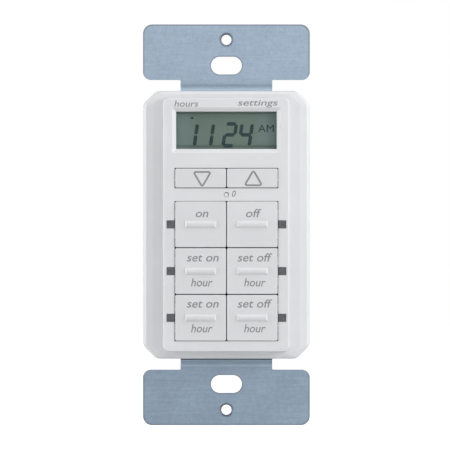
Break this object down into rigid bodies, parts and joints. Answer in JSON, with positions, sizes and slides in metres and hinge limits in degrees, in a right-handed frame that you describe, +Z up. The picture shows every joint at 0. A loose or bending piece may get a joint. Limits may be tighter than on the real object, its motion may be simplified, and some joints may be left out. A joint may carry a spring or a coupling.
{
  "type": "timer light switch",
  "caption": "Decorator-style in-wall timer light switch with a recessed display, arrow keys, large push keys, a steel mounting strap and a deep rear housing.",
  "frame": {"origin": "on the back face of the strap's ears, midway between the two box screws", "axes": "+X right seen from the front, +Z up along the strap, -Y out of the wall towards the user"},
  "size_m": [0.0436, 0.0392, 0.1048],
  "materials": {
    "zinc_steel": "bluish zinc plate on rolled steel, satin",
    "white_plastic": "white moulded thermoplastic, fine satin",
    "key_plastic": "white moulded thermoplastic, fine satin, printed in grey",
    "clear_plastic": "clear acrylic, polished",
    "display_glass": "grey-green reflective liquid crystal glass",
    "elastomer": "grey conductive elastomer",
    "inner_plastic": "natural moulded plastic",
    "smoked_plastic": "smoked grey light pipe, satin",
    "lamp_body": "red indicator lamp",
    "black_plastic": "black moulded plastic",
    "board_laminate": "dark coated glass-fibre laminate",
    "insulating_paper": "grey insulating paper",
    "screw_steel": "plated steel",
    "bright_metal": "bright nickel plate",
    "cell_steel": "nickelled steel",
    "contact_metal": "tinned brass",
    "rear_plastic": "black moulded thermoplastic, fine texture",
    "legend_ink": "grey pad-printed ink",
    "segment_ink": "dark liquid crystal segments",
    "bushing_nylon": "natural nylon",
    "relay_plastic": "black relay cover",
    "relay_iron": "nickelled soft iron",
    "winding_copper": "enamelled copper wire",
    "component_yellow": "yellow moulded capacitor",
    "can_aluminium": "bare aluminium can",
    "component_blue": "blue dipped coating",
    "component_tan": "cream cement coating"
  },
  "bodies": {
    "root": {"strap": "zinc_steel", "front_housing": "white_plastic", "display_window": "clear_plastic", "lcd_front_glass": "display_glass", "lcd_rear_glass": "display_glass", "lcd_connectors": "elastomer", "lcd_holder": "inner_plastic", "light_pipes": "smoked_plastic", "indicator_lamps": "lamp_body", "switch_bodies": "black_plastic", "logic_board": "board_laminate", "insulator_sheet": "insulating_paper", "board_screws": "screw_steel", "logic_chip": "black_plastic", "crystal": "bright_metal", "cell_tray": "black_plastic", "backup_cell": "cell_steel", "cell_clip": "bright_metal", "connector_socket": "black_plastic", "connector_pins": "contact_metal", "power_board": "board_laminate", "power_board_screws": "screw_steel", "rear_housing": "rear_plastic", "lead_bushings": "bushing_nylon", "housing_screws": "screw_steel", "relay_case": "relay_plastic", "relay_base": "relay_plastic", "relay_yoke": "relay_iron", "relay_core": "relay_iron", "relay_bobbin": "inner_plastic", "relay_winding": "winding_copper", "relay_fixed_contact": "contact_metal", "film_capacitor": "component_yellow", "electrolytic_capacitor": "can_aluminium", "varistor": "component_blue", "supply_resistor": "component_tan", "rectifier_diodes": "black_plastic", "lead_tabs": "contact_metal", "ground_tab": "contact_metal", "ground_rivet": "bright_metal"},
    "key_down": {"key_down": "key_plastic", "plunger_down": "inner_plastic"},
    "key_up": {"key_up": "key_plastic", "plunger_up": "inner_plastic"},
    "key_on": {"key_on": "key_plastic", "plunger_on": "inner_plastic"},
    "key_off": {"key_off": "key_plastic", "plunger_off": "inner_plastic"},
    "key_on_1": {"key_on_1": "key_plastic", "plunger_on_1": "inner_plastic"},
    "key_off_1": {"key_off_1": "key_plastic", "plunger_off_1": "inner_plastic"},
    "key_on_2": {"key_on_2": "key_plastic", "plunger_on_2": "inner_plastic"},
    "key_off_2": {"key_off_2": "key_plastic", "plunger_off_2": "inner_plastic"},
    "reset": {"reset_plunger": "inner_plastic"},
    "armature": {"relay_armature": "relay_iron", "relay_blade": "contact_metal"}
  },
  "joints": [
    {"name": "press_down", "type": "slide", "parent": "root", "child": "key_down", "axis": [0, 1, 0], "range_m": [0, 0.0006], "stiffness_N_per_m": 1500, "springref_m": -0.0003},
    {"name": "press_up", "type": "slide", "parent": "root", "child": "key_up", "axis": [0, 1, 0], "range_m": [0, 0.0006], "stiffness_N_per_m": 1500, "springref_m": -0.0003},
    {"name": "press_on", "type": "slide", "parent": "root", "child": "key_on", "axis": [0, 1, 0], "range_m": [0, 0.0006], "stiffness_N_per_m": 1500, "springref_m": -0.0003},
    {"name": "press_off", "type": "slide", "parent": "root", "child": "key_off", "axis": [0, 1, 0], "range_m": [0, 0.0006], "stiffness_N_per_m": 1500, "springref_m": -0.0003},
    {"name": "press_on_1", "type": "slide", "parent": "root", "child": "key_on_1", "axis": [0, 1, 0], "range_m": [0, 0.0006], "stiffness_N_per_m": 1500, "springref_m": -0.0003},
    {"name": "press_off_1", "type": "slide", "parent": "root", "child": "key_off_1", "axis": [0, 1, 0], "range_m": [0, 0.0006], "stiffness_N_per_m": 1500, "springref_m": -0.0003},
    {"name": "press_on_2", "type": "slide", "parent": "root", "child": "key_on_2", "axis": [0, 1, 0], "range_m": [0, 0.0006], "stiffness_N_per_m": 1500, "springref_m": -0.0003},
    {"name": "press_off_2", "type": "slide", "parent": "root", "child": "key_off_2", "axis": [0, 1, 0], "range_m": [0, 0.0006], "stiffness_N_per_m": 1500, "springref_m": -0.0003},
    {"name": "press_reset", "type": "slide", "parent": "root", "child": "reset", "axis": [0, 1, 0], "range_m": [0, 0.0004], "stiffness_N_per_m": 2000, "springref_m": -0.0002},
    {"name": "armature_swing", "type": "hinge", "parent": "root", "child": "armature", "pos_m": [-0.0011, 0.0185, 0.018], "axis": [0, 0, 1], "range_deg": [0, 3.2], "stiffness_Nm_per_rad": 0.02, "springref_deg": -1.72}
  ]
}
